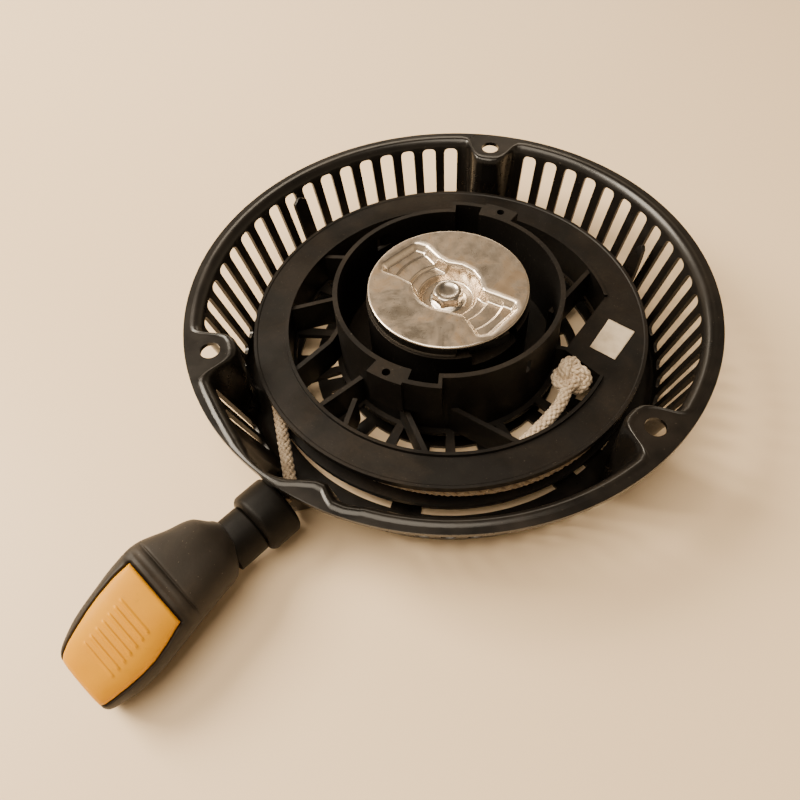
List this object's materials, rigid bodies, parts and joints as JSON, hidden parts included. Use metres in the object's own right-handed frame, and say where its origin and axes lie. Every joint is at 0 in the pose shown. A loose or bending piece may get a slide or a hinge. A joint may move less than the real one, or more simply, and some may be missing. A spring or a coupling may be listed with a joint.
{
  "type": "recoil starter",
  "caption": "Recoil starter: slotted pressed-steel housing with bolt pads, rope reel with ratchet pawls and a steel ratchet guide, braided rope, and a rubber pull handle.",
  "frame": {"origin": "centre of the mounting bolt circle, on the flange face that meets the engine", "axes": "+Z along the reel's axis towards the engine; the first bolt hole is at 71.9 degrees from +X, counter-clockwise; the handle is pulled along (-0.746, -0.667, 0)"},
  "size_m": [0.2277, 0.2298, 0.0422],
  "materials": {
    "housing": "gloss black paint",
    "rope_eyelet": "zinc plated",
    "rope_guide": "satin black",
    "centre_post": "turned steel",
    "thrust_washer": "plain",
    "friction_spring": "spring steel",
    "centre_screw": "zinc plated",
    "rope_lead": "braided",
    "reel": "glass-filled nylon",
    "reel_bush": "sintered",
    "recoil_spring": "spring steel",
    "spring_cover": "plain",
    "pawl_pins": "plain",
    "pawl_springs": "spring wire",
    "rope_winding": "braided",
    "rope_tail": "braided",
    "reel_knot": "braided",
    "label": "self-adhesive",
    "ratchet_guide": "zinc plated, stained",
    "pawl_a": "sintered",
    "pawl_b": "sintered",
    "handle_body": "dusty dark grey",
    "handle_insert": "satin yellow",
    "handle_core": "hard",
    "handle_washer": "plain",
    "handle_knot": "braided",
    "rope_handle_run": "braided"
  },
  "bodies": {
    "housing": {"housing": "housing", "rope_eyelet": "rope_eyelet", "rope_guide": "rope_guide", "centre_post": "centre_post", "thrust_washer": "thrust_washer", "friction_spring": "friction_spring", "centre_screw": "centre_screw", "rope_lead": "rope_lead"},
    "reel": {"reel": "reel", "reel_bush": "reel_bush", "recoil_spring": "recoil_spring", "spring_cover": "spring_cover", "pawl_pins": "pawl_pins", "pawl_springs": "pawl_springs", "rope_winding": "rope_winding", "rope_tail": "rope_tail", "reel_knot": "reel_knot", "label": "label"},
    "ratchet_guide": {"ratchet_guide": "ratchet_guide"},
    "pawl_a": {"pawl_a": "pawl_a"},
    "pawl_b": {"pawl_b": "pawl_b"},
    "handle": {"handle_body": "handle_body", "handle_insert": "handle_insert", "handle_core": "handle_core", "handle_washer": "handle_washer", "handle_knot": "handle_knot", "rope_handle_run": "rope_handle_run"}
  },
  "joints": [
    {"name": "reel_spin", "type": "hinge", "parent": "housing", "child": "reel", "pos_m": [0, 0, -0.02], "axis": [0, 0, 1], "range_deg": [0, 900], "stiffness_Nm_per_rad": 0.03, "springref_deg": -343.77, "deforming": ["recoil_spring", "rope_winding"]},
    {"name": "handle_pull", "type": "slide", "parent": "housing", "child": "handle", "axis": [-0.7455, -0.6665, 0], "range_m": [0, 1.03], "deforming": ["rope_lead", "rope_handle_run"]},
    {"name": "ratchet_lag", "type": "hinge", "parent": "reel", "child": "ratchet_guide", "pos_m": [0, 0, 0], "axis": [0, 0, 1], "range_deg": [-18, 0], "stiffness_Nm_per_rad": 0.02, "springref_deg": 5.73},
    {"name": "pawl_a_swing", "type": "hinge", "parent": "reel", "child": "pawl_a", "pos_m": [-0.00365, 0.02068, -0.0044], "axis": [0, 0, 1], "range_deg": [-35, 0]},
    {"name": "pawl_b_swing", "type": "hinge", "parent": "reel", "child": "pawl_b", "pos_m": [0.00365, -0.02068, -0.0044], "axis": [0, 0, 1], "range_deg": [-35, 0]}
  ],
  "couplings": [
    {"joint": "handle_pull", "follows": "reel_spin", "m_per_rad": 0.065},
    {"joint": "pawl_a_swing", "follows": "ratchet_lag", "ratio": 1.94},
    {"joint": "pawl_b_swing", "follows": "ratchet_lag", "ratio": 1.94}
  ]
}
